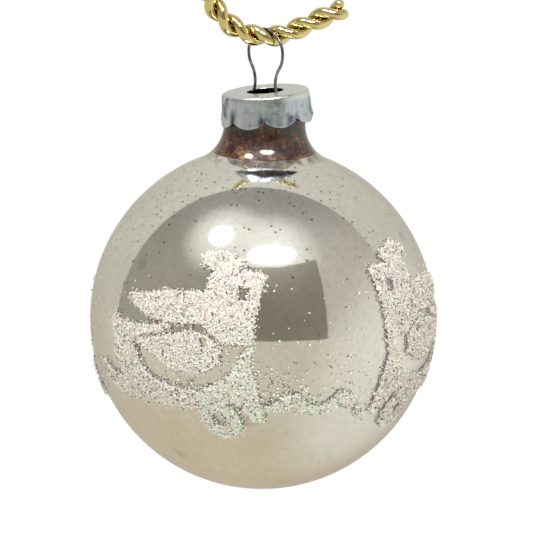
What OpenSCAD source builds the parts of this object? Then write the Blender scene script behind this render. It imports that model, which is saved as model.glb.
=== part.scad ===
// Silvered glass ball ornament with a petal cap, a sprung hanger wire, a twisted hanging cord
// and raised glitter sleighs. The origin is the lowest point of the ball, on its axis.

/* [Ball] */
// Outside diameter of the glass ball
ball_d = 63.5; // [55:0.5:75]
// Wall thickness of the blown glass
glass_t = 0.5; // [0.4:0.05:0.8]
// Outside diameter of the straight neck
neck_d = 15; // [14:0.1:15.2]
// Radius of the sweep from the ball into the neck
shoulder_r = 7.5; // [6:0.5:8]
// Height of the neck's mouth above the top of the ball's sphere
neck_rise = 9.5; // [9.4:0.1:12]
// Thickness of the silver and of the lacquer inside the glass
film_t = 0.1; // [0.05:0.01:0.15]
// How far the lacquer runs down from the neck's mouth before silver takes over
lacquer_h = 10.4; // [9:0.1:11]

/* [Cap] */
// Outside diameter of the cap at its top edge
cap_d = 16.1; // [16.1:0.1:16.6]
// Thickness of the cap's sheet metal
sheet_t = 0.25; // [0.2:0.05:0.3]
// Depth of the cap down to the tips of its petals
cap_depth = 5.8; // [5:0.1:5.9]
// Height of the scalloped edge between a notch and a petal's tip
scallop = 1.1; // [0.8:0.1:1.4]
// How many petals the skirt has
petals = 8; // [6:1:10]
// Direction in which the front petal faces, turned from the front towards the right, in degrees
petal_turn = 20; // [0:1:45]
// How far the skirt flares outwards on each side
flare = 0.3; // [0.3:0.05:0.4]
// Diameter of the round hole in the cap's top
hole_d = 6.9; // [6.7:0.1:7.2]
// How far the cap sits out of level on the neck, in degrees
cap_tilt = 5; // [0:0.5:5]

/* [Hanger wire] */
// Diameter of the spring wire
wire_d = 0.55; // [0.45:0.05:0.6]
// Height of the loop's top above the cap
loop_h = 11.4; // [11:0.1:13]
// Radius of the loop's round top
loop_r = 4.4; // [4.2:0.1:4.6]
// Distance of each leg from the axis where the loop is narrowest
waist = 2.6; // [2.4:0.1:2.8]
// Radius of the curve from the loop into its waist
waist_r = 5; // [4:0.5:5]
// Angle at which the legs spread below the waist
leg_spread = 20; // [14:1:22]
// Length of each straight leg below the cap
leg_len = 9; // [6:0.5:9]
// Direction in which the loop's front leg faces, turned from the right towards the front
loop_turn = 45; // [43:1:48]

/* [Twisted cord] */
// Diameter of each of the two strands
strand_d = 1.95; // [1.8:0.05:2]
// Length of cord in which a strand goes once round
twist_pitch = 8.7; // [8.5:0.1:10]
// Radius of the bend that the hanger hangs in
bend_r = 11; // [10:0.5:14]
// Slope of the cord's left arm in degrees
left_slope = 60; // [40:1:65]
// Straight length of the left arm
left_len = 8; // [2:0.5:12]
// Slope of the cord's right arm in degrees
right_slope = 25; // [15:1:35]
// Straight length of the right arm
right_len = 10; // [2:0.5:12]

/* [Glitter] */
// Thickness of the glued glitter
glitter_t = 0.35; // [0.25:0.05:0.5]
// Direction in which the left sleigh faces, turned from the front towards the right
left_sleigh_turn = -38.5; // [-45:0.5:-35]
// How far the sleighs' middle lies below the ball's widest line, in degrees
sleigh_drop = 0; // [0:0.5:3]
// Width of each sleigh as a share of its drawn outline
sleigh_wide = 0.9; // [0.86:0.01:0.94]
// Height of each sleigh as a share of its drawn outline
sleigh_tall = 0.96; // [0.92:0.01:1]
// How far each sleigh sits from the line it faces along, towards its parcel
sleigh_shift = 2; // [1:0.1:3]

/* [Hidden] */
$fn = 96;

ball_r = ball_d / 2;
neck_r = neck_d / 2;
film_gap = 0.01;
// The shoulder's arc touches the sphere and the neck, so its centre follows from the two
shoulder_x = neck_r + shoulder_r;
shoulder_z = ball_r + sqrt(pow(ball_r + shoulder_r, 2) - pow(shoulder_x, 2));
mouth_z = ball_d + neck_rise;
silver_z = mouth_z - lacquer_h;

cap_r = cap_d / 2;
cap_gap = 0.9;
cap_z = mouth_z + sheet_t + cap_gap;
rim_r = 0.6;
hole_r = hole_d / 2;
slit_w = 0.2;
slit_h = 1.8;
slit_z = scallop - cap_depth;
petal_pitch = 360 / petals;
petal_half = cap_r * sin(petal_pitch / 2);
petal_r = (pow(petal_half, 2) + pow(scallop, 2)) / (2 * scallop);

wire_r = wire_d / 2;
loop_z = cap_z + loop_h - loop_r;
waist_angle = acos((waist + waist_r) / (loop_r + waist_r));
waist_z = loop_z - (loop_r + waist_r) * sin(waist_angle);
leg_r = 4;
leg_start = [waist + leg_r * (1 - cos(leg_spread)), waist_z - leg_r * sin(leg_spread)];

strand_r = strand_d / 2;
strand_gap = 0.04;
helix_r = strand_r + strand_gap / 2;
cord_drop = 1.4;
cord_z = loop_z + loop_r - cord_drop;
left_arc = bend_r * left_slope * PI / 180;
right_arc = bend_r * right_slope * PI / 180;
cord_steps = 92;
tube_sides = 14;
arc_step = 6;

glue_gap = 0.01;
glitter_in = ball_r + glue_gap;
glitter_out = glitter_in + glitter_t;
sleighs = 3;
sleigh_pitch = 360 / sleighs;
curve_steps = 5;
drift_lead = 6;
drift_drop = 13.5;
flecks_per_band = 14;
fleck_turns = rands(-17, 14, sleighs * flecks_per_band, 5);
fleck_levels = rands(-11, 24, sleighs * flecks_per_band, 8);
fleck_sizes = rands(0.2, 0.38, sleighs * flecks_per_band, 3);
block_out = 2 * ball_r;
// How far a cutting shape reaches past the surface that it cuts
overcut = 1;

// Silhouette of the bulb to the right of its axis, moved inwards by inset, up to a height
module bulb_half(inset, top_z) {
    intersection() {
        square([block_out, top_z]);
        union() {
            translate([0, ball_r]) circle(ball_r - inset);
            translate([0, ball_r]) square([neck_r - inset, mouth_z]);
            difference() {
                polygon([[0, ball_r], [shoulder_x, shoulder_z], [0, shoulder_z]]);
                translate([shoulder_x, shoulder_z]) circle(shoulder_r + inset);
            }
        }
    }
}

// Film lining the glass between two heights
module film(low_z, high_z) {
    rotate_extrude() {
        intersection() {
            difference() {
                bulb_half(glass_t + film_gap, mouth_z);
                bulb_half(glass_t + film_gap + film_t, mouth_z + overcut);
            }
            translate([0, low_z]) square([block_out, high_z - low_z]);
        }
    }
}

module glass_bulb() {
    color([0.93, 0.94, 0.92, 0.5])
    rotate_extrude() {
        difference() {
            bulb_half(0, mouth_z);
            bulb_half(glass_t, mouth_z + overcut);
        }
    }
}

module silver_lining() {
    color("silver") film(0, silver_z);
}

module neck_lacquer() {
    color([0.28, 0.16, 0.11]) film(silver_z + film_gap, mouth_z - film_gap);
}

// Round-edged cup, open downwards, with its top face on the origin
module cap_cup(radius, depth) {
    rotate_extrude() {
        difference() {
            polygon([[0, 0], [radius, 0], [radius, -rim_r], [radius + flare, -depth], [0, -depth]]);
            difference() {
                translate([radius - rim_r, -rim_r]) square(2 * rim_r);
                translate([radius - rim_r, -rim_r]) circle(rim_r);
            }
        }
    }
}

// Everything above the cap's scalloped edge
module petal_field() {
    translate([0, 0, scallop - cap_depth]) cylinder(r = block_out, h = cap_depth);
    for (i = [0 : petals - 1])
        rotate([0, 0, i * petal_pitch])
            translate([0, 0, petal_r - cap_depth])
                rotate([90, 0, 0]) cylinder(r = petal_r, h = 2 * cap_r);
}

module cap() {
    color([0.8, 0.81, 0.8])
    translate([0, 0, cap_z]) rotate([0, -cap_tilt, 0]) rotate([0, 0, petal_turn]) {
        difference() {
            intersection() {
                cap_cup(cap_r, cap_depth);
                petal_field();
            }
            translate([0, 0, -sheet_t]) cap_cup(cap_r - sheet_t, cap_depth);
            translate([0, 0, -overcut]) cylinder(r = hole_r, h = 2 * overcut);
            for (i = [0 : petals - 1])
                rotate([0, 0, (i + 0.5) * petal_pitch])
                    translate([-slit_w / 2, -2 * cap_r, slit_z - overcut])
                        cube([slit_w, 2 * cap_r, slit_h + overcut]);
        }
    }
}

function unit(v) = v / norm(v);

// Ring of points round a tube's middle line, square to it
function tube_ring(before, middle, after, radius, reference) =
    let (ahead = unit(after - before), side = unit(cross(ahead, reference)), top = cross(side, ahead))
    [
        for (k = [0 : tube_sides - 1])
            let (a = 360 * k / tube_sides)
            middle + radius * (cos(a) * side + sin(a) * top)
    ];

// Round tube along a list of points, none of whose steps runs along the reference direction
module tube(path, radius, reference) {
    last = len(path) - 1;
    points = [
        for (i = [0 : last])
            each tube_ring(path[max(i - 1, 0)], path[i], path[min(i + 1, last)], radius, reference)
    ];
    walls = [
        for (i = [0 : last - 1], k = [0 : tube_sides - 1])
            let (a = i * tube_sides + k, b = i * tube_sides + (k + 1) % tube_sides)
            each [[a, b, b + tube_sides], [a, b + tube_sides, a + tube_sides]]
    ];
    start = [for (k = [tube_sides - 1 : -1 : 0]) k];
    end = [for (k = [0 : tube_sides - 1]) last * tube_sides + k];
    polyhedron(points, concat(walls, [start, end]));
}

// Points along an arc in the XZ plane, leaving out the last one
function arc(centre, radius, from_angle, to_angle) =
    let (steps = ceil(abs(to_angle - from_angle) / arc_step))
    [
        for (i = [0 : steps - 1])
            let (a = from_angle + (to_angle - from_angle) * i / steps)
            [centre[0] + radius * cos(a), 0, centre[1] + radius * sin(a)]
    ];

// Half of the wire, from the loop's top down to the tip of a leg
leg_path = concat(
    arc([0, loop_z], loop_r, 90, -waist_angle),
    arc([waist + waist_r, waist_z], waist_r, 180 - waist_angle, 180),
    arc([waist + leg_r, waist_z], leg_r, 180, 180 + leg_spread),
    [
        [leg_start[0], 0, leg_start[1]],
        [leg_start[0] + leg_len * sin(leg_spread), 0, leg_start[1] - leg_len * cos(leg_spread)]
    ]
);

module hanger_wire() {
    other_leg = [for (i = [len(leg_path) - 1 : -1 : 1]) [-leg_path[i][0], 0, leg_path[i][2]]];
    color([0.3, 0.31, 0.32])
    rotate([0, 0, -loop_turn]) tube(concat(other_leg, leg_path), wire_r, [0, 1, 0]);
}

// Slope of the cord at a distance along it from its lowest point
function cord_slope(s) = max(-left_slope, min(right_slope, s / bend_r * 180 / PI));

// Point on the cord's axis at a distance along it, as [x, z]
function cord_point(s) =
    let (a = cord_slope(s), past = s - a * PI / 180 * bend_r)
    [bend_r * sin(a) + past * cos(a), bend_r * (1 - cos(a)) + past * sin(a)];

// Middle of a strand, where phase is 0 for the one in front and 180 for the one behind
function strand_point(s, phase) =
    let (p = cord_point(s), a = cord_slope(s))
    let (turn = phase - 360 * s / twist_pitch, lift = helix_r * sin(turn))
    [p[0] - lift * sin(a), -helix_r * cos(turn), cord_z + p[1] + lift * cos(a)];

module strand(phase) {
    low = -left_arc - left_len;
    step = (left_arc + left_len + right_arc + right_len) / cord_steps;
    tube([for (i = [0 : cord_steps]) strand_point(low + i * step, phase)], strand_r, [0, 0, 1]);
}

module cord_front_strand() {
    color("goldenrod") strand(0);
}

module cord_back_strand() {
    color("gold") strand(180);
}

// Smooth curve through points, as a list of samples
function blend(a, b, c, d, t) =
    0.5 * (2 * b + (c - a) * t + (2 * a - 5 * b + 4 * c - d) * t * t + (3 * b - a - 3 * c + d) * t * t * t);

function curve(p) = [
    for (i = [0 : len(p) - 2], j = [0 : curve_steps - 1])
        blend(p[max(i - 1, 0)], p[i], p[i + 1], p[min(i + 2, len(p) - 1)], j / curve_steps),
    p[len(p) - 1]
];

// Brush stroke along a smooth curve; each entry is [x, y, half the stroke's width there]
module stroke(entries) {
    c = curve(entries);
    n = len(c) - 1;
    sides = [
        for (i = [0 : n])
            let (step = c[min(i + 1, n)] - c[max(i - 1, 0)], way = unit([step[0], step[1]]))
            [way[1], -way[0]] * c[i][2]
    ];
    polygon(concat(
        [for (i = [0 : n]) [c[i][0], c[i][1]] + sides[i]],
        [for (i = [n : -1 : 0]) [c[i][0], c[i][1]] - sides[i]]
    ));
}

// Parcel with a window and a bow, and the sack that trails from it
module load_outline() {
    difference() {
        union() {
            polygon([[9, 13.8], [9.8, 14.5], [17.6, 14.5], [18.4, 13.6], [18.2, 1.3], [13.4, 1.5], [9, 5]]);
            stroke([[-9.2, 8.3, 0.4], [-4, 7.4, 1.9], [2, 7.5, 2.8], [9.5, 7.8, 2.7]]);
            stroke([[6.6, 16.2, 0.8], [9, 16.6, 1.4], [11.4, 15.6, 1.7], [13.8, 16, 0.8]]);
        }
        polygon([[14.2, 9.6], [14.4, 12.2], [16.8, 12], [16.6, 9.4]]);
    }
}

// Boat-shaped side of the sleigh with a round opening
module body_outline() {
    difference() {
        stroke([[-6.2, 0.2, 0.3], [-2, -0.3, 1.5], [3, -0.8, 3.2], [8.5, -0.7, 3.8], [12.4, -0.9, 1.7]]);
        translate([9.4, 1.4]) circle(1.1, $fn = 32);
    }
}

// Curled front, long runner with its round end, and the snow under its tail
module runner_outline() {
    stroke([
        [1.6, 3.7, 0.4], [-1.6, 2.9, 0.7], [-5.6, 2.2, 0.9], [-9.6, 0.4, 2.5], [-9.4, -4, 3.2],
        [-4.6, -8.2, 2.4], [4, -10, 1.8], [11, -9, 1.8], [16, -6.2, 2.2], [17, -2, 0.8], [18, 0.8, 0.4]
    ]);
    stroke([[-13.6, 4.2, 0.4], [-12.8, 2.6, 1.2], [-11.4, 0.6, 1.8], [-10.4, -2, 1.6]]);
    stroke([[-18.2, -6.2, 0.6], [-14.6, -8.8, 1.4], [-8, -9.6, 1.8], [-1, -10, 1.3]]);
    stroke([[16.4, -6, 2], [16.8, -9.4, 1.8], [17.6, -13.6, 0.6]]);
    difference() {
        translate([11, -13.8]) circle(3.5, $fn = 48);
        translate([10.8, -13.6]) circle(1.5, $fn = 32);
    }
}

// Lays a flat outline onto the ball, facing turn degrees from the front and drop degrees below level
module laid_on_ball(turn, drop) {
    intersection() {
        translate([0, 0, ball_r]) difference() {
            sphere(glitter_out);
            sphere(glitter_in);
        }
        translate([0, 0, ball_r]) rotate([0, 0, turn]) rotate([90 + drop, 0, 0])
            linear_extrude(block_out) children();
    }
}

// Brings a drawn outline to the sleigh's own width, height and place
module sized_outline() {
    translate([sleigh_shift, 0]) scale([sleigh_wide, sleigh_tall]) children();
}

// Place of one of the three sleighs, counted round the ball from the left one; the second is mirrored
module sleigh_place(index) {
    laid_on_ball(left_sleigh_turn + index * sleigh_pitch, sleigh_drop) {
        if (index == 1) mirror([1, 0]) sized_outline() children();
        else sized_outline() children();
    }
}

module left_sleigh_load() {
    color("mistyrose") sleigh_place(0) load_outline();
}

module left_sleigh_body() {
    color("linen") sleigh_place(0) body_outline();
}

module left_sleigh_runner() {
    color("seashell") sleigh_place(0) runner_outline();
}

module right_sleigh_load() {
    color("mistyrose") sleigh_place(1) load_outline();
}

module right_sleigh_body() {
    color("linen") sleigh_place(1) body_outline();
}

module right_sleigh_runner() {
    color("seashell") sleigh_place(1) runner_outline();
}

module back_sleigh_load() {
    color("mistyrose") sleigh_place(2) load_outline();
}

module back_sleigh_body() {
    color("linen") sleigh_place(2) body_outline();
}

module back_sleigh_runner() {
    color("seashell") sleigh_place(2) runner_outline();
}

// Drift of snow that joins one sleigh to the next
module drift_outline() {
    stroke([
        [-7.2, -3.8, 0.4], [-5, -3, 0.9], [-2.2, -1.8, 1.2], [0.2, -3.5, 0.7], [4, -3.7, 0.7],
        [7.4, -2.2, 1.2], [9.4, -3.6, 0.5]
    ]);
    stroke([[10.4, -4.2, 0.4], [10.9, -5.6, 0.6], [11.6, -7.2, 0.3]]);
}

module snow_line() {
    color("azure")
    for (i = [0 : sleighs - 1])
        laid_on_ball(left_sleigh_turn + (i + 0.5) * sleigh_pitch - drift_lead, drift_drop) drift_outline();
}

// Single flecks scattered in the clear bands between the sleighs
module loose_flecks() {
    band_turn = left_sleigh_turn + sleigh_pitch / 2;
    color("honeydew")
    for (i = [0 : sleighs * flecks_per_band - 1])
        translate([0, 0, ball_r])
            rotate([0, 0, band_turn + floor(i / flecks_per_band) * sleigh_pitch + fleck_turns[i]])
                rotate([90 - fleck_levels[i], 0, 0])
                    translate([0, 0, glitter_in]) cylinder(r = fleck_sizes[i], h = glitter_t, $fn = 6);
}

glass_bulb();
silver_lining();
neck_lacquer();
cap();
hanger_wire();
cord_front_strand();
cord_back_strand();
left_sleigh_load();
left_sleigh_body();
left_sleigh_runner();
right_sleigh_load();
right_sleigh_body();
right_sleigh_runner();
back_sleigh_load();
back_sleigh_body();
back_sleigh_runner();
snow_line();
loose_flecks();
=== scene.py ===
"""Looks of a silvered glass ball ornament with glitter sleighs, a petal cap and a twisted gold cord."""

import math
import random

import bpy
import numpy as np
from mathutils import Matrix, Vector
from mathutils.bvhtree import BVHTree


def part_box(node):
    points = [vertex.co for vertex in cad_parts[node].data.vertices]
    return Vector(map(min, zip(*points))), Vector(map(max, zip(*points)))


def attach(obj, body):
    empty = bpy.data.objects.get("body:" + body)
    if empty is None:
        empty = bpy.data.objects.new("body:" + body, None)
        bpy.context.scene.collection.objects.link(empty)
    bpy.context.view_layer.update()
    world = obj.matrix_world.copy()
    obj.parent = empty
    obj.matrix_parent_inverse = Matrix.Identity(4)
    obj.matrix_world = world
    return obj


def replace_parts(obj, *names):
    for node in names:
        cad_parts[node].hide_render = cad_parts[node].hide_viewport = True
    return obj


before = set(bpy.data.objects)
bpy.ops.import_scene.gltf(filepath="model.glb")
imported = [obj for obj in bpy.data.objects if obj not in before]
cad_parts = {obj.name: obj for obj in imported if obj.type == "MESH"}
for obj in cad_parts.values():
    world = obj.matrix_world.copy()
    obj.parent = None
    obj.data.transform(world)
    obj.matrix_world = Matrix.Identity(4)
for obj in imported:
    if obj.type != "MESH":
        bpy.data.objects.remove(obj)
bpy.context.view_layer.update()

MM = 0.001

# Ball, from the frame
bulb_low, bulb_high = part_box("glass_bulb")
silver_low, silver_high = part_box("silver_lining")
BALL_R = (bulb_high.x - bulb_low.x) / 2
MOUTH_Z = bulb_high.z
NECK_R = 7.5 * MM
SHOULDER_R = 7.5 * MM
SHOULDER_X = NECK_R + SHOULDER_R
SHOULDER_Z = BALL_R + math.sqrt((BALL_R + SHOULDER_R) ** 2 - SHOULDER_X**2)
GLASS_T = silver_low.z
FILM_T = 0.1 * MM
FILM_GAP = 0.01 * MM
SILVER_EDGE = silver_high.z

# Cap, at the CAD's sizes, on the neck's mouth
CAP_R = 8.05 * MM
CAP_SHEET = 0.25 * MM
CAP_GAP = 0.9 * MM
CAP_Z = MOUTH_Z + CAP_GAP + CAP_SHEET
CAP_DEPTH = 5.8 * MM
CAP_FLARE = 0.3 * MM
CAP_TILT = math.radians(5)
HOLE_R = 3.45 * MM
RIM_R = 0.6 * MM
PETALS = 8
SCALLOP = 1.1 * MM
PETAL_TURN = math.radians(20)
FIT_GAP = 0.03 * MM
FOLD_DEPTH = 0.36 * MM
LIP_HEIGHT = 0.17 * MM
BULGE = 0.1 * MM
EDGE_BEAD = 0.07 * MM
DENT = 0.14 * MM
TOP_DENT = 0.04 * MM

# Wire and cord, at the CAD's sizes, hung from the wire's top
wire_low, wire_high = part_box("hanger_wire")
WIRE_R = 0.275 * MM
LOOP_TOP = wire_high.z - WIRE_R
LOOP_R = 4.4 * MM
WAIST = 2.6 * MM
WAIST_R = 5.0 * MM
LEG_R = 4.0 * MM
LEG_SPREAD = math.radians(20)
LEG_LEN = 9.0 * MM
LOOP_TURN = math.radians(45)
CORD_DROP = 1.4 * MM
CORD_Z = LOOP_TOP - CORD_DROP
STRAND_R = 0.975 * MM
HELIX_R = 0.995 * MM
PITCH = 8.7 * MM
BEND_R = 11.0 * MM
LEFT_SLOPE = math.radians(60)
RIGHT_SLOPE = math.radians(25)
LEFT_LEN = 8.0 * MM
RIGHT_LEN = 10.0 * MM

# Glitter: its top face stands GLITTER_T off the ball
GLITTER_T = 0.36 * MM
GLITTER_R = BALL_R + GLITTER_T
ON_PAD = 0.03 * MM
FLAKE_T = 0.035 * MM
FLAKE_PITCH = 0.25 * MM
SIDE_REACH = 0.2 * MM
EDGE_REACH = 0.9 * MM
CENTRE = Vector((0, 0, BALL_R))
PADS = [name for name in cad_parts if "sleigh" in name or name == "snow_line"]

# Stage
FLOOR_Z = -0.09
FLOOR_REACH = 3
LAMP_DISTANCE = 0.8
CAMERA_DISTANCE = 1.0
CAMERA_AIM = Vector((0.7 * MM, 0, 41.3 * MM))
CAMERA_LENS = 366
CAMERA_ELEVATION = math.radians(11)
CAMERA_ROLL = math.radians(0.8)


# ---------------------------------------------------------------- meshes


def new_object(name, verts, faces, smooth=True):
    mesh = bpy.data.meshes.new(name)
    mesh.from_pydata(verts, [], faces)
    mesh.validate()
    mesh.update()
    if smooth:
        mesh.polygons.foreach_set("use_smooth", [True] * len(mesh.polygons))
    obj = bpy.data.objects.new(name, mesh)
    bpy.context.scene.collection.objects.link(obj)
    return obj


def arc(centre, radius, start, end, steps):
    """Points of an arc in a plane, from start to end in radians, both ends included."""
    return [
        (centre[0] + radius * math.cos(a), centre[1] + radius * math.sin(a))
        for a in np.linspace(start, end, steps)
    ]


def lathe(name, loop, segments):
    """Closed solid made by turning a closed (radius, height) outline round the Z axis."""
    verts, rows = [], []
    for r, z in loop:
        if r < 1e-7:
            rows.append([len(verts)] * segments)
            verts.append((0, 0, z))
        else:
            rows.append(list(range(len(verts), len(verts) + segments)))
            verts += [
                (r * math.cos(2 * math.pi * k / segments), r * math.sin(2 * math.pi * k / segments), z)
                for k in range(segments)
            ]
    faces = []
    for i, low in enumerate(rows):
        high = rows[(i + 1) % len(rows)]
        for k in range(segments):
            n = (k + 1) % segments
            face = []
            for v in (low[k], low[n], high[n], high[k]):
                if v not in face:
                    face.append(v)
            if len(face) > 2:
                faces.append(face)
    return new_object(name, verts, faces)


def bulb_side(inset, low_z, high_z):
    """Points up the side of the bulb moved inwards by inset, between two heights."""
    tangent = math.asin(SHOULDER_X / (BALL_R + SHOULDER_R))
    low = -math.pi / 2
    high = math.pi / 2 - tangent
    points = arc((0, BALL_R), BALL_R - inset, low, high, 150)
    points += arc(
        (SHOULDER_X, SHOULDER_Z), SHOULDER_R + inset, 1.5 * math.pi - tangent, math.pi, 40
    )[1:]
    points += [(NECK_R - inset, z) for z in np.linspace(SHOULDER_Z, MOUTH_Z, 12)[1:]]
    points[0] = (0.0, inset)
    kept = [p for p in points if low_z <= p[1] <= high_z]
    for cut in (low_z, high_z):
        for a, b in zip(points, points[1:]):
            if a[1] < cut < b[1]:
                t = (cut - a[1]) / (b[1] - a[1])
                kept.append((a[0] + t * (b[0] - a[0]), cut))
    return sorted(kept, key=lambda p: p[1])


def tube(name, path, radius, sides, reference):
    """Closed round tube along a list of points; reference never runs along the path."""
    path = np.array(path)
    ahead = np.gradient(path, axis=0)
    ahead /= np.linalg.norm(ahead, axis=1)[:, None]
    side = np.cross(ahead, reference)
    side /= np.linalg.norm(side, axis=1)[:, None]
    top = np.cross(side, ahead)
    turn = np.linspace(0, 2 * math.pi, sides, endpoint=False)
    ring = np.cos(turn)[None, :, None] * side[:, None] + np.sin(turn)[None, :, None] * top[:, None]
    rounding = [(-0.9, 0.45), (-0.6, 0.8)]
    rings = [path[0] + ahead[0] * r * radius + ring[0] * radius * w for r, w in rounding]
    rings += [path[i] + ring[i] * radius for i in range(len(path))]
    rings += [path[-1] - ahead[-1] * r * radius + ring[-1] * radius * w for r, w in rounding[::-1]]
    verts = np.concatenate(rings)
    count = len(rings)
    faces = [
        (i * sides + k, (i + 1) * sides + k, (i + 1) * sides + (k + 1) % sides, i * sides + (k + 1) % sides)
        for i in range(count - 1)
        for k in range(sides)
    ]
    faces.append(list(range(sides)))
    faces.append([(count - 1) * sides + k for k in range(sides)][::-1])
    return new_object(name, verts.tolist(), faces)


# ---------------------------------------------------------------- materials


class Nodes:
    """Short way to lay out a material's nodes."""

    def __init__(self, name):
        self.material = bpy.data.materials.new(name)
        self.material.use_nodes = True
        self.tree = self.material.node_tree
        self.shader = self.tree.nodes["Principled BSDF"]
        self.output = self.tree.nodes["Material Output"]

    def add(self, kind, **inputs):
        node = self.tree.nodes.new(kind)
        for key, value in inputs.items():
            self.set(node, key.replace("_", " "), value)
        return node

    def set(self, node, key, value):
        socket = node.inputs[key]
        if isinstance(value, bpy.types.NodeSocket):
            self.tree.links.new(value, socket)
        else:
            socket.default_value = value

    def surface(self, **inputs):
        for key, value in inputs.items():
            self.set(self.shader, key.replace("_", " "), value)

    def place(self):
        return self.add("ShaderNodeTexCoord").outputs["Object"]

    def noise(self, scale, detail=3.0, vector=None):
        return self.add(
            "ShaderNodeTexNoise", Scale=scale, Detail=detail, Vector=vector or self.place()
        ).outputs["Fac"]

    def cells(self, scale, vector=None):
        """Voronoi cells: distance from the cell's middle and the cell's own random colour."""
        node = self.add("ShaderNodeTexVoronoi", Scale=scale, Vector=vector or self.place())
        return node.outputs["Distance"], node.outputs["Color"]

    def wobble(self, vector, scale, amount):
        """The vector shaken by noise, so that round cells turn ragged."""
        noise = self.add("ShaderNodeTexNoise", Scale=scale, Detail=2.0, Vector=vector)
        node = self.add("ShaderNodeVectorMath")
        node.operation = "MULTIPLY_ADD"
        self.tree.links.new(noise.outputs["Color"], node.inputs[0])
        node.inputs[1].default_value = (amount, amount, amount)
        self.tree.links.new(vector, node.inputs[2])
        return node.outputs["Vector"]

    def ramp(self, value, *stops):
        node = self.add("ShaderNodeValToRGB", Fac=value)
        ramp = node.color_ramp
        while len(ramp.elements) < len(stops):
            ramp.elements.new(0.5)
        for element, (position, colour) in zip(ramp.elements, stops):
            element.position = position
            element.color = (*colour, 1) if len(colour) == 3 else colour
        return node.outputs["Color"]

    def remap(self, value, low, high, to_low=0.0, to_high=1.0):
        node = self.add("ShaderNodeMapRange")
        self.set(node, "Value", value)
        for key, number in zip(("From Min", "From Max", "To Min", "To Max"), (low, high, to_low, to_high)):
            node.inputs[key].default_value = number
        return node.outputs["Result"]

    def math(self, operation, a, b=0.5):
        node = self.add("ShaderNodeMath")
        node.operation = operation
        self.set(node, 0, a)
        self.set(node, 1, b)
        return node.outputs["Value"]

    def mix(self, factor, a, b, kind="MIX"):
        node = self.add("ShaderNodeMix")
        node.data_type = "RGBA"
        node.blend_type = kind
        for index, value in ((0, factor), (6, a), (7, b)):
            if isinstance(value, bpy.types.NodeSocket):
                self.tree.links.new(value, node.inputs[index])
            else:
                node.inputs[index].default_value = value if index == 0 else (*value, 1)
        return node.outputs[2]

    def bump(self, height, strength, distance):
        node = self.add("ShaderNodeBump", Height=height, Strength=strength, Distance=distance)
        return node.outputs["Normal"]

    def part(self, vector, axis):
        """One of a vector's three numbers."""
        node = self.add("ShaderNodeSeparateXYZ")
        self.tree.links.new(vector, node.inputs[0])
        return node.outputs[axis]


def clear_glass():
    n = Nodes("clear_glass")
    wave = n.noise(60.0, 2.0)
    n.surface(
        Base_Color=(0.97, 0.97, 0.95, 1), Roughness=0.0, IOR=1.5, Transmission_Weight=1.0,
        Normal=n.bump(wave, 0.15, 0.0003),
    )
    return n.material


def bonded_glass():
    """Inner face of the glass, where a film is stuck to it, so that light isn't bent there."""
    n = Nodes("bonded_glass")
    n.surface(Base_Color=(1, 1, 1, 1), Alpha=0.0)
    return n.material


def silver_mirror():
    n = Nodes("silver_mirror")
    place = n.place()
    tone = n.noise(45.0, 4.0)
    base = n.mix(n.remap(tone, 0.35, 0.7), (0.86, 0.85, 0.82), (0.77, 0.75, 0.7))
    base = n.mix(n.remap(n.noise(1000.0, 4.0), 0.42, 0.75, 0, 0.3), base, (0.6, 0.58, 0.53))
    # Small dark specks where the silver has lifted, more of them high on the ball
    distance, cell = n.cells(1250.0, n.wobble(place, 1600.0, 0.0003))
    keep = n.part(cell, "X")
    high = n.remap(n.part(place, "Z"), BALL_R + 9 * MM, BALL_R + 28 * MM, 0.005, 0.4)
    high = n.math("MULTIPLY", high, n.remap(n.noise(70.0, 2.0), 0.4, 0.6, 0.15, 1.0))
    speck = n.math("MULTIPLY", n.math("LESS_THAN", keep, high), n.remap(distance, 0.36, 0.22))
    base = n.mix(n.math("MULTIPLY", speck, 0.75), base, (0.12, 0.1, 0.1))
    # Golden tarnish where the silver thins out under the lacquer's edge
    edge = n.remap(n.part(place, "Z"), SILVER_EDGE - 1.5 * MM, SILVER_EDGE - 0.3 * MM)
    edge = n.math("MULTIPLY", edge, n.remap(n.noise(500.0, 4.0), 0.4, 0.62))
    base = n.mix(n.math("MULTIPLY", edge, 0.95), base, (0.24, 0.12, 0.06))
    # Larger soft grey spots
    distance, cell = n.cells(95.0)
    spot = n.math("MULTIPLY", n.math("LESS_THAN", n.part(cell, "Y"), 0.4), n.remap(distance, 0.17, 0.07))
    base = n.mix(n.math("MULTIPLY", spot, 0.35), base, (0.38, 0.36, 0.34))
    wave = n.noise(38.0, 2.0)
    normal = n.bump(wave, 0.12, 0.0004)
    n.surface(Base_Color=base, Metallic=1.0, Roughness=0.035, Normal=normal)
    haze = n.add("ShaderNodeBsdfPrincipled", Metallic=1.0, Roughness=0.3)
    n.set(haze, "Base Color", base)
    blend = n.add("ShaderNodeMixShader")
    n.set(blend, "Fac", n.remap(n.noise(30.0, 5.0), 0.3, 0.8, 0.08, 0.26))
    n.tree.links.new(n.shader.outputs[0], blend.inputs[1])
    n.tree.links.new(haze.outputs[0], blend.inputs[2])
    n.tree.links.new(blend.outputs[0], n.output.inputs["Surface"])
    return n.material


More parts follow.
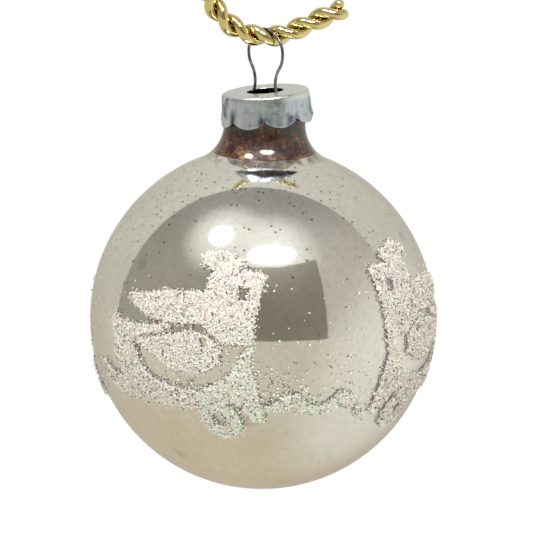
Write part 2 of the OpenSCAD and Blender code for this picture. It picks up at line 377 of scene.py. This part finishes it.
def brown_lacquer():
    n = Nodes("brown_lacquer")
    place = n.place()
    grain = n.math("MULTIPLY", n.noise(1300.0, 7.0), 0.6)
    mottle = n.math("ADD", grain, n.math("MULTIPLY", n.noise(330.0, 3.0), 0.4))
    # Painted amber glint in front below the cap; amber also along the lacquer's lower edge, where it is thin
    front = n.remap(n.part(place, "Y"), -NECK_R * 0.9, -NECK_R * 0.45, 1.0, 0.0)
    middle = n.remap(n.math("ABSOLUTE", n.part(place, "X")), 3.6 * MM, 1.6 * MM)
    high = n.remap(n.part(place, "Z"), MOUTH_Z - 7.4 * MM, MOUTH_Z - 5.6 * MM)
    low = n.remap(n.part(place, "Z"), SILVER_EDGE, SILVER_EDGE + 2.4 * MM, 0.07, 0.0)
    # The painted glint: an amber patch in front below the cap
    painted_glint = n.math("MULTIPLY", n.math("MULTIPLY", front, middle), high)
    # Painted glint and the thin lower edge, added together
    thin = n.math("ADD", n.math("MULTIPLY", painted_glint, 0.1), low)
    colour = n.ramp(
        n.math("ADD", mottle, thin), (0.42, (0.01, 0.003, 0.002)), (0.51, (0.06, 0.016, 0.009)),
        (0.59, (0.19, 0.05, 0.014)), (0.69, (0.55, 0.29, 0.09)),
    )
    n.surface(
        Base_Color=colour, Roughness=n.remap(mottle, 0.3, 0.7, 0.12, 0.4),
        Normal=n.bump(n.noise(700.0, 4.0), 0.5, 0.0002),
    )
    return n.material


def cap_metal():
    n = Nodes("cap_metal")
    place = n.place()
    streak = n.add("ShaderNodeMapping")
    n.set(streak, "Vector", place)
    streak.inputs["Scale"].default_value = (1, 1, 0.08)
    lines = n.noise(1500.0, 4.0, streak.outputs[0])
    stain = n.noise(330.0, 5.0)
    colour = n.mix(n.remap(lines, 0.3, 0.7), (0.64, 0.71, 0.79), (0.45, 0.51, 0.58))
    # Painted shade beside the folds between petals, low on the skirt, broken up by noise
    round_cap = n.math("ARCTAN2", n.part(place, "X"), n.math("MULTIPLY", n.part(place, "Y"), -1.0))
    round_cap = n.math("ADD", round_cap, 4 * math.pi + math.pi / PETALS - PETAL_TURN)
    fold = n.math("PINGPONG", round_cap, math.pi / PETALS)
    fold_shade = n.math("MULTIPLY", n.remap(fold, 0.14, 0.03), n.remap(n.noise(240.0, 4.0), 0.42, 0.54))
    fold_shade = n.math("MULTIPLY", fold_shade, n.remap(n.part(place, "Z"), CAP_Z - 2.2 * MM, CAP_Z - 4.2 * MM))
    # Lay the painted fold shade over the metal
    colour = n.mix(n.math("MULTIPLY", fold_shade, 0.9), colour, (0.05, 0.05, 0.07))
    colour = n.mix(n.remap(stain, 0.54, 0.68, 0, 0.85), colour, (0.1, 0.11, 0.15))
    # Painted light: the flat top is drawn lighter than the skirt
    colour = n.mix(n.remap(n.part(place, "Z"), CAP_Z - 1.0 * MM, CAP_Z - 0.4 * MM), colour, (0.7, 0.74, 0.75))
    n.surface(
        Base_Color=colour, Metallic=1.0, Roughness=n.remap(stain, 0.3, 0.7, 0.2, 0.42),
        Normal=n.bump(n.noise(520.0, 3.0), 0.25, 0.0004),
    )
    return n.material


def dark_wire():
    n = Nodes("dark_wire")
    tone = n.noise(900.0, 4.0)
    colour = n.ramp(tone, (0.3, (0.08, 0.08, 0.09)), (0.6, (0.22, 0.22, 0.24)), (0.8, (0.36, 0.35, 0.35)))
    n.surface(
        Base_Color=colour, Metallic=1.0, Roughness=0.32,
        Normal=n.bump(n.noise(2600.0, 3.0), 0.3, 0.0001),
    )
    return n.material


def gold():
    n = Nodes("polished_gold")
    tone = n.noise(260.0, 4.0)
    worn = n.mix(n.remap(tone, 0.35, 0.7), (0.79, 0.66, 0.27), (0.76, 0.67, 0.37))
    # Painted shade: the creases between the strands, found by ambient occlusion, get a deeper, darker gold,
    # as light reflected twice there would
    painted_crease_shade = n.add("ShaderNodeAmbientOcclusion", Distance=0.0012)
    painted_crease_shade.samples = 8
    colour = n.mix(n.remap(painted_crease_shade.outputs["AO"], 0.25, 0.8), (0.43, 0.28, 0.04), worn)
    n.surface(
        Base_Color=colour, Metallic=1.0, Roughness=n.remap(tone, 0.3, 0.7, 0.08, 0.17),
        Normal=n.bump(n.noise(1400.0, 3.0), 0.2, 0.00012),
    )
    return n.material


def flake_foil():
    """Loose flakes: each has its own tint, kept in its corners."""
    n = Nodes("flake_foil")
    tint = n.add("ShaderNodeAttribute")
    tint.attribute_name = "tint"
    grain = n.noise(5200.0, 2.0)
    colour = n.mix(n.remap(grain, 0.3, 0.7, 0.0, 0.25), (1, 1, 1), (0.84, 0.84, 0.84))
    n.surface(
        Base_Color=n.mix(1.0, tint.outputs["Color"], colour, "MULTIPLY"), Roughness=0.3,
        Metallic=0.1, Coat_Weight=0.3, Coat_Roughness=0.12,
    )
    return n.material


def glue_bed():
    """Glue and small flakes under the loose ones."""
    n = Nodes("glue_bed")
    distance, cell = n.cells(3600.0)
    colour = n.mix(0.2, (0.8, 0.76, 0.72), cell)
    # Painted shade: each small flake's cell darkens towards its edges, as in the crevices between flakes
    colour = n.mix(n.remap(distance, 0.35, 0.75, 0.0, 0.7), colour, (0.3, 0.24, 0.26))
    # Painted light: the bed glows faintly, standing in for light that soaks through the milky glue onto its
    # shaded sides
    n.surface(
        Base_Color=colour, Roughness=0.4, Emission_Color=colour, Emission_Strength=0.3,
        Normal=n.bump(distance, 1.0, 0.0003),
    )
    return n.material


def finish(obj, material, body):
    obj.data.materials.clear()
    obj.data.materials.append(material)
    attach(obj, body)
    return obj


# ---------------------------------------------------------------- ball


def build_ball():
    outer = bulb_side(0, 0, MOUTH_Z)
    inner = bulb_side(GLASS_T, 0, MOUTH_Z)
    lip = arc((NECK_R - GLASS_T / 2, MOUTH_Z - GLASS_T / 2), GLASS_T / 2, 0, math.pi, 9)
    glass = lathe("blown_glass", outer[:-1] + lip + inner[::-1][1:], 256)
    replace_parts(finish(glass, clear_glass(), "ball"), "glass_bulb")
    glass.data.materials.append(bonded_glass())
    for face in glass.data.polygons:
        facing = face.normal.dot(face.center - CENTRE)
        side = Vector((face.center.x, face.center.y, 0)).dot(face.normal)
        inside = facing < 0 if face.center.z < SHOULDER_Z - 8 * MM else side < 0
        face.material_index = int(inside and face.center.z < MOUTH_Z - 0.1 * MM)

    gap = GLASS_T + FILM_GAP
    film = bulb_side(gap, 0, SILVER_EDGE) + bulb_side(gap + FILM_T, 0, SILVER_EDGE)[::-1]
    silver = lathe("silver_coating", film, 256)
    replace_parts(finish(silver, silver_mirror(), "ball"), "silver_lining")

    low = SILVER_EDGE + FILM_GAP
    high = MOUTH_Z - 0.05 * MM
    film = bulb_side(gap, low, high) + bulb_side(gap + FILM_T, low, high)[::-1]
    lacquer = lathe("brown_lacquer_film", film, 192)
    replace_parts(finish(lacquer, brown_lacquer(), "ball"), "neck_lacquer")


# ---------------------------------------------------------------- cap


def petal_edge(turn):
    """Height of the skirt's edge below the cap's top, at an angle round the cap."""
    pitch = 2 * math.pi / PETALS
    half = CAP_R * math.sin(pitch / 2)
    radius = (half**2 + SCALLOP**2) / (2 * SCALLOP)
    off = CAP_R * abs((turn - PETAL_TURN + pitch / 2) % pitch - pitch / 2)
    return CAP_DEPTH - radius + math.sqrt(max(radius**2 - min(off, half) ** 2, 0))


def least_radius(turn, z):
    """Smallest radius of the skirt's outside at which the tilted cap's inside still clears the neck."""
    lean = z * math.sin(CAP_TILT) * math.sin(turn)
    return (NECK_R + CAP_SHEET + FIT_GAP + lean) / math.cos(CAP_TILT)


def cap_profile(edge):
    """Outline of the cap's outside: from the hole over the round rim and down the skirt to its edge."""
    rows = [(r, 0.0) for r in np.linspace(HOLE_R, CAP_R - RIM_R, 9)]
    rows += [(x, -z) for x, z in arc((CAP_R - RIM_R, RIM_R), RIM_R, -math.pi / 2, 0, 8)[1:]]
    for z in np.linspace(RIM_R, edge, 16)[1:]:
        rows.append((CAP_R + CAP_FLARE * (z - RIM_R) / (CAP_DEPTH - RIM_R), -z))
    return rows


def bell(distance, width):
    """1 at distance 0, falling smoothly to nothing."""
    return math.exp(-((distance / width) ** 2))


def cap_outside(turn, waves):
    """The outline at an angle round the cap, with bulging petals, a fold at each notch and small dents."""
    pitch = 2 * math.pi / PETALS
    edge = petal_edge(turn)
    local = (turn - PETAL_TURN + pitch / 2) % pitch - pitch / 2
    off = math.copysign(pitch / 2 - abs(local), local) * CAP_R / MM
    shaped = []
    for r, z in cap_profile(edge):
        share = max(0.0, -z - RIM_R) / (CAP_DEPTH - RIM_R)
        low = min(1.0, max(0.0, (share - 0.4) / 0.3))
        dent = sum(math.sin(k * turn + phase + z * rate) for k, phase, rate in waves) / len(waves)
        r += BULGE * share * (math.cos(local * 4) - 0.3)
        r -= FOLD_DEPTH * low * bell(off - 0.15, 0.22)
        r += LIP_HEIGHT * low * bell(off + 0.22, 0.2)
        r += EDGE_BEAD * bell(edge + z, 0.22 * MM)
        r += dent * DENT * min(1, share * 3)
        if share > 0:
            r = max(r, least_radius(turn, z))
        shaped.append((r, z + dent * TOP_DENT * (share == 0)))
    return shaped


def build_cap():
    """Thin stamped cup: the shaped outline all round, with the sheet's thickness inside it."""
    per_petal = 56
    segments = PETALS * per_petal
    rng = random.Random(4)
    waves = [(rng.randint(2, 9), rng.uniform(0, 6.28), rng.uniform(200, 1400)) for _ in range(7)]

    verts, columns = [], []
    for s in range(segments):
        turn = 2 * math.pi * s / segments + PETAL_TURN
        outer = cap_outside(turn, waves)
        inner = []
        for i, (r, z) in enumerate(outer):
            before, after = outer[max(i - 1, 0)], outer[min(i + 1, len(outer) - 1)]
            way = Vector((after[0] - before[0], after[1] - before[1])).normalized()
            inner.append((r + way.y * CAP_SHEET, z - way.x * CAP_SHEET))
        ring = outer + inner[::-1]
        columns.append(range(len(verts), len(verts) + len(ring)))
        verts += [(r * math.sin(turn), -r * math.cos(turn), z) for r, z in ring]
    faces = []
    for s in range(segments):
        here, there = columns[s], columns[(s + 1) % segments]
        size = len(here)
        for i in range(size):
            j = (i + 1) % size
            faces.append((here[i], here[j], there[j], there[i]))
    cap = new_object("petal_cap", verts, faces)
    cap.data.transform(Matrix.Translation((0, 0, CAP_Z)) @ Matrix.Rotation(-CAP_TILT, 4, "Y"))
    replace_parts(finish(cap, cap_metal(), "cap"), "cap")


# ---------------------------------------------------------------- wire and cord


def build_wire():
    loop_z = LOOP_TOP - LOOP_R
    angle = math.acos((WAIST + WAIST_R) / (LOOP_R + WAIST_R))
    waist_z = loop_z - (LOOP_R + WAIST_R) * math.sin(angle)
    half = arc((0, loop_z), LOOP_R, math.pi / 2, -angle, 70)
    half += arc((WAIST + WAIST_R, waist_z), WAIST_R, math.pi - angle, math.pi, 20)[1:]
    half += arc((WAIST + LEG_R, waist_z), LEG_R, math.pi, math.pi + LEG_SPREAD, 12)[1:]
    x, z = half[-1]
    for d in np.linspace(0, LEG_LEN, 14)[1:]:
        half.append((x + d * math.sin(LEG_SPREAD), z - d * math.cos(LEG_SPREAD)))
    points = [(-x, 0, z) for x, z in half[:0:-1]] + [(x, 0, z) for x, z in half]
    wire = tube("spring_wire", points, WIRE_R, 20, (0, 1, 0))
    wire.data.transform(Matrix.Rotation(-LOOP_TURN, 4, "Z"))
    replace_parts(finish(wire, dark_wire(), "hanger"), "hanger_wire")


def build_strand(name, phase, node, material):
    low = -BEND_R * LEFT_SLOPE - LEFT_LEN
    high = BEND_R * RIGHT_SLOPE + RIGHT_LEN
    points = []
    for s in np.linspace(low, high, 620):
        a = max(-LEFT_SLOPE, min(RIGHT_SLOPE, s / BEND_R))
        past = s - a * BEND_R
        x = BEND_R * math.sin(a) + past * math.cos(a)
        z = BEND_R * (1 - math.cos(a)) + past * math.sin(a)
        turn = phase - 2 * math.pi * s / PITCH
        lift = HELIX_R * math.sin(turn)
        points.append((x - lift * math.sin(a), -HELIX_R * math.cos(turn), CORD_Z + z + lift * math.cos(a)))
    strand = tube(name, points, STRAND_R, 36, (0, 0, 1))
    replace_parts(finish(strand, material, "cord"), node)


# ---------------------------------------------------------------- glitter


def tint_of(rng, normal):
    """Colour of one flake: mostly white, pink and cream, greener where it faces low and to the front."""
    green = max(0.0, normal.dot(Vector((0.1, -0.9, -0.42)))) ** 9
    pick = rng.random()
    if pick < 0.11:
        base = (0.22, 0.13, 0.18)
    elif pick < 0.11 + 0.34 * green:
        base = (0.74, 0.97, 0.7)
    elif pick < 0.5:
        base = (1.0, 0.89, 0.81)
    elif pick < 0.62:
        base = (0.97, 0.92, 0.74)
    elif pick < 0.7:
        base = (0.8, 0.93, 0.84)
    else:
        base = (0.99, 0.98, 0.91)
    light = rng.uniform(0.58, 1.0)
    return (*(c * light for c in base), 1.0)


def flakes(name, places, material, seed):
    """Thin six-sided plates lying at random slants on the ball."""
    rng = random.Random(seed)
    verts, faces, tints = [], [], []
    for place, lift in places:
        radial = (place - CENTRE).normalized()
        slant = Vector((rng.gauss(0, 1), rng.gauss(0, 1), rng.gauss(0, 1))) * 0.34
        normal = (radial + slant).normalized()
        if normal.dot(radial) < 0.25:
            normal = radial
        side = normal.orthogonal().normalized()
        side.rotate(Matrix.Rotation(rng.uniform(0, math.pi), 3, normal))
        other = normal.cross(side)
        middle = CENTRE + radial * (BALL_R + lift)
        size = rng.uniform(0.12, 0.2) * MM
        start = len(verts)
        for level in (-0.5, 0.5):
            for k in range(6):
                a = math.pi * k / 3
                spoke = (side * math.cos(a) + other * math.sin(a)) * size
                verts.append(middle + normal * level * FLAKE_T + spoke)
        faces.append([start + k for k in range(5, -1, -1)])
        faces.append([start + 6 + k for k in range(6)])
        faces += [[start + k, start + (k + 1) % 6, start + 6 + (k + 1) % 6, start + 6 + k] for k in range(6)]
        tints += [tint_of(rng, radial)] * 12
    obj = new_object(name, verts, faces, smooth=False)
    layer = obj.data.attributes.new("tint", "FLOAT_COLOR", "POINT")
    layer.data.foreach_set("color", np.array(tints, np.float32).ravel())
    return finish(obj, material, "ball")


def spread_points(pitch):
    """Evenly spread directions over the ball, each nudged at random."""
    count = int(4 * math.pi * BALL_R**2 / (pitch**2 * 0.87))
    rng = np.random.default_rng(11)
    i = np.arange(count) + 0.5
    z = 1 - 2 * i / count
    turn = math.pi * (1 + 5**0.5) * i
    flat = np.sqrt(1 - z * z)
    points = np.stack([flat * np.cos(turn), flat * np.sin(turn), z], 1) * GLITTER_R
    points += rng.normal(0, pitch * 0.25, points.shape)
    return points / np.linalg.norm(points, axis=1)[:, None] * GLITTER_R + np.array(CENTRE)


def build_glitter():
    bed, foil = glue_bed(), flake_foil()
    points = spread_points(FLAKE_PITCH)
    for seed, name in enumerate(sorted(PADS)):
        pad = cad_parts[name]
        for slot in pad.material_slots:
            slot.link = "OBJECT"
            slot.material = bed
        low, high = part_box(name)
        inside = np.all((points > np.array(low) - 0.001) & (points < np.array(high) + 0.001), axis=1)
        tree = BVHTree.FromObject(pad, bpy.context.evaluated_depsgraph_get())
        rng = random.Random(seed)
        chosen = []
        for p in points[inside]:
            place = Vector(p)
            gap = tree.find_nearest(place)[3]
            if gap < ON_PAD:
                chosen.append((place, GLITTER_T + rng.uniform(-0.03, 0.15) * MM))
            elif gap < SIDE_REACH:
                chosen.append((place, rng.uniform(0.1, 0.34) * MM))
            elif gap < EDGE_REACH and rng.random() < 0.6 * (1 - gap / EDGE_REACH):
                chosen.append((place, 0.09 * MM + rng.uniform(0, 0.12) * MM))
        flakes(name + "_flakes", chosen, foil, seed)
    build_loose_flakes(foil, points)


def build_loose_flakes(foil, points):
    """Single flakes in the clear bands: the CAD's own, and finer ones that thin out from the snow line."""
    tree = BVHTree.FromObject(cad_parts["loose_flecks"], bpy.context.evaluated_depsgraph_get())
    drift = BVHTree.FromObject(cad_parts["snow_line"], bpy.context.evaluated_depsgraph_get())
    low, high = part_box("loose_flecks")
    # Loose flakes lie thickest below and beside the tail of each sleigh
    spray = [Vector((math.sin(a), -math.cos(a), -0.46)) for a in np.radians([-4, 116, 236])]
    rng = random.Random(77)
    chosen = []
    for p in points[(points[:, 2] > low.z - 0.006) & (points[:, 2] < high.z)]:
        place = Vector(p)
        if tree.find_nearest(place)[3] < ON_PAD:
            if rng.random() < 0.22:
                chosen.append((place, 0.12 * MM + rng.uniform(0, 0.08) * MM))
            continue
        gap = drift.find_nearest(place)[3] / MM
        thick = min(direction.angle(place - CENTRE) for direction in spray)
        if rng.random() < 0.004 + 0.05 * math.exp(-gap / 2.4) + 0.16 * math.exp(-((thick / 0.26) ** 2)):
            chosen.append((place, 0.08 * MM + rng.uniform(0, 0.06) * MM))
    loose = flakes("loose_flakes", chosen, foil, 99)
    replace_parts(loose, "loose_flecks")


# ---------------------------------------------------------------- stage, light and camera


def build_world():
    """Studio round the ornament: a white sweep behind it, a dim room in front and a warm table below."""
    world = bpy.data.worlds.new("studio")
    bpy.context.scene.world = world
    world.use_nodes = True
    tree = world.node_tree
    tree.nodes.clear()
    link = tree.links.new

    def add(kind, **settings):
        node = tree.nodes.new(kind)
        for key, value in settings.items():
            setattr(node, key, value)
        return node

    way = add("ShaderNodeTexCoord").outputs["Generated"]

    def along(axis, low, high):
        """0 to 1 as the direction turns towards axis, between two cosines."""
        dot = add("ShaderNodeVectorMath", operation="DOT_PRODUCT")
        link(way, dot.inputs[0])
        dot.inputs[1].default_value = axis
        ease = add("ShaderNodeMapRange", interpolation_type="SMOOTHSTEP")
        link(dot.outputs["Value"], ease.inputs["Value"])
        ease.inputs["From Min"].default_value = low
        ease.inputs["From Max"].default_value = high
        return ease.outputs["Result"]

    def both(a, b):
        node = add("ShaderNodeMath", operation="MULTIPLY")
        link(a, node.inputs[0])
        link(b, node.inputs[1])
        return node.outputs[0]

    def paint(factor, under, colour):
        node = add("ShaderNodeMix", data_type="RGBA")
        link(factor, node.inputs[0])
        if isinstance(under, tuple):
            node.inputs[6].default_value = (*under, 1)
        else:
            link(under, node.inputs[6])
        node.inputs[7].default_value = (*colour, 1)
        return node.outputs[2]

    toward = (-0.096, -0.995, 0.026)
    sky = paint(along((0, 0, 1), -0.6, 0.9), (0.62, 0.58, 0.48), (0.72, 0.72, 0.66))
    room = along(toward, -0.31, -0.29)
    sky = paint(room, sky, (0.29, 0.28, 0.25))
    sky = paint(both(room, along((-0.9, -0.3, -0.1), 0.3, 1.0)), sky, (0.42, 0.40, 0.34))
    sky = paint(both(room, along((0.9, -0.3, 0.1), 0.2, 0.95)), sky, (0.62, 0.585, 0.54))
    for azimuth, elevation, reach in ((9, 53, 0.8), (-54, 60, 0.88)):
        a, e = math.radians(azimuth), math.radians(elevation)
        glow = along((math.sin(a) * math.cos(e), -math.cos(a) * math.cos(e), math.sin(e)), reach, 1.0)
        sky = paint(glow, sky, (0.9, 0.89, 0.84))
    sky = paint(both(along((0, 0, -1), 0.06, 0.1), along((0, -1, 0), -0.9, -0.3)), sky, (0.72, 0.67, 0.56))
    sky = paint(along((-0.1, 0.35, -1), 0.6, 1.0), sky, (0.69, 0.6, 0.45))
    sky = paint(along((0.9, 0.1, -0.5), 0.45, 1.0), sky, (0.9, 0.88, 0.8))
    # A dark card beside the camera
    card = both(along((0.2, -1, 0), 0.2, 0.22), along((0, 0, 1), -0.09, -0.07))
    card = both(card, along((0, 0, -1), -0.72, -0.7))
    card = both(card, both(along((1, -0.22, 0), -0.03, -0.0), along((-1, -0.62, 0), -0.28, -0.25)))
    sky = paint(card, sky, (0.235, 0.215, 0.165))

    background = add("ShaderNodeBackground")
    link(sky, background.inputs["Color"])
    plain = add("ShaderNodeBackground")
    plain.inputs["Color"].default_value = (1, 1, 1, 1)
    rays = add("ShaderNodeLightPath")
    # Matt surfaces get more light than the mirror shows, as from lamps outside its view
    fill = add("ShaderNodeMapRange")
    link(rays.outputs["Is Diffuse Ray"], fill.inputs["Value"])
    fill.inputs["To Min"].default_value = 1.0
    fill.inputs["To Max"].default_value = 1.1
    link(fill.outputs["Result"], background.inputs["Strength"])
    blend = add("ShaderNodeMixShader")
    link(rays.outputs["Is Camera Ray"], blend.inputs[0])
    link(background.outputs[0], blend.inputs[1])
    link(plain.outputs[0], blend.inputs[2])
    link(blend.outputs[0], add("ShaderNodeOutputWorld").inputs["Surface"])


def build_floor():
    corners = [(x * FLOOR_REACH, y * FLOOR_REACH, 0) for x, y in ((-1, -1), (1, -1), (1, 1), (-1, 1))]
    floor = new_object("floor", corners, [(0, 1, 2, 3)], smooth=False)
    floor.location.z = FLOOR_Z
    n = Nodes("pale_floor")
    n.surface(Base_Color=(0.9, 0.89, 0.86, 1), Roughness=0.8)
    white = n.add("ShaderNodeEmission", Color=(1, 1, 0.995, 1), Strength=1.0)
    rays = n.add("ShaderNodeLightPath")
    blend = n.add("ShaderNodeMixShader")
    n.tree.links.new(rays.outputs["Is Camera Ray"], blend.inputs[0])
    n.tree.links.new(n.shader.outputs[0], blend.inputs[1])
    n.tree.links.new(white.outputs[0], blend.inputs[2])
    n.tree.links.new(blend.outputs[0], n.output.inputs["Surface"])
    floor.data.materials.append(n.material)
    floor.visible_glossy = False
    floor.visible_transmission = False


def lamp(name, azimuth, elevation, size, size_y, power):
    """Soft oval lamp facing the ball. Azimuth 0 is in front, 90 is to the right."""
    light = bpy.data.lights.new(name, "AREA")
    light.shape = "ELLIPSE"
    light.size, light.size_y = size, size_y
    light.energy = power
    obj = bpy.data.objects.new(name, light)
    a, e = math.radians(azimuth), math.radians(elevation)
    way = Vector((math.sin(a) * math.cos(e), -math.cos(a) * math.cos(e), math.sin(e)))
    obj.location = CENTRE + way * LAMP_DISTANCE
    obj.rotation_euler = way.to_track_quat("Z", "Y").to_euler()
    bpy.context.scene.collection.objects.link(obj)


def build_camera():
    camera = bpy.data.cameras.new("camera")
    camera.sensor_width = 36
    camera.lens = CAMERA_LENS
    camera.clip_end = 20
    obj = bpy.data.objects.new("camera", camera)
    way = Vector((0, -math.cos(CAMERA_ELEVATION), math.sin(CAMERA_ELEVATION)))
    obj.location = CAMERA_AIM + way * CAMERA_DISTANCE
    level = way.to_track_quat("Z", "Y").to_matrix()
    obj.rotation_euler = (level @ Matrix.Rotation(CAMERA_ROLL, 3, "Z")).to_euler()
    bpy.context.scene.collection.objects.link(obj)
    bpy.context.scene.camera = obj


build_ball()
build_cap()
build_wire()
bright_gold = gold()
build_strand("front_strand", 0, "cord_front_strand", bright_gold)
build_strand("back_strand", math.pi, "cord_back_strand", bright_gold)
build_glitter()
build_world()
build_floor()
lamp("wide_lamp", 9, 53, 0.42, 0.17, 5.0)
lamp("round_lamp", -54, 60, 0.21, 0.19, 2.4)
build_camera()
bpy.context.scene.view_settings.view_transform = "Standard"
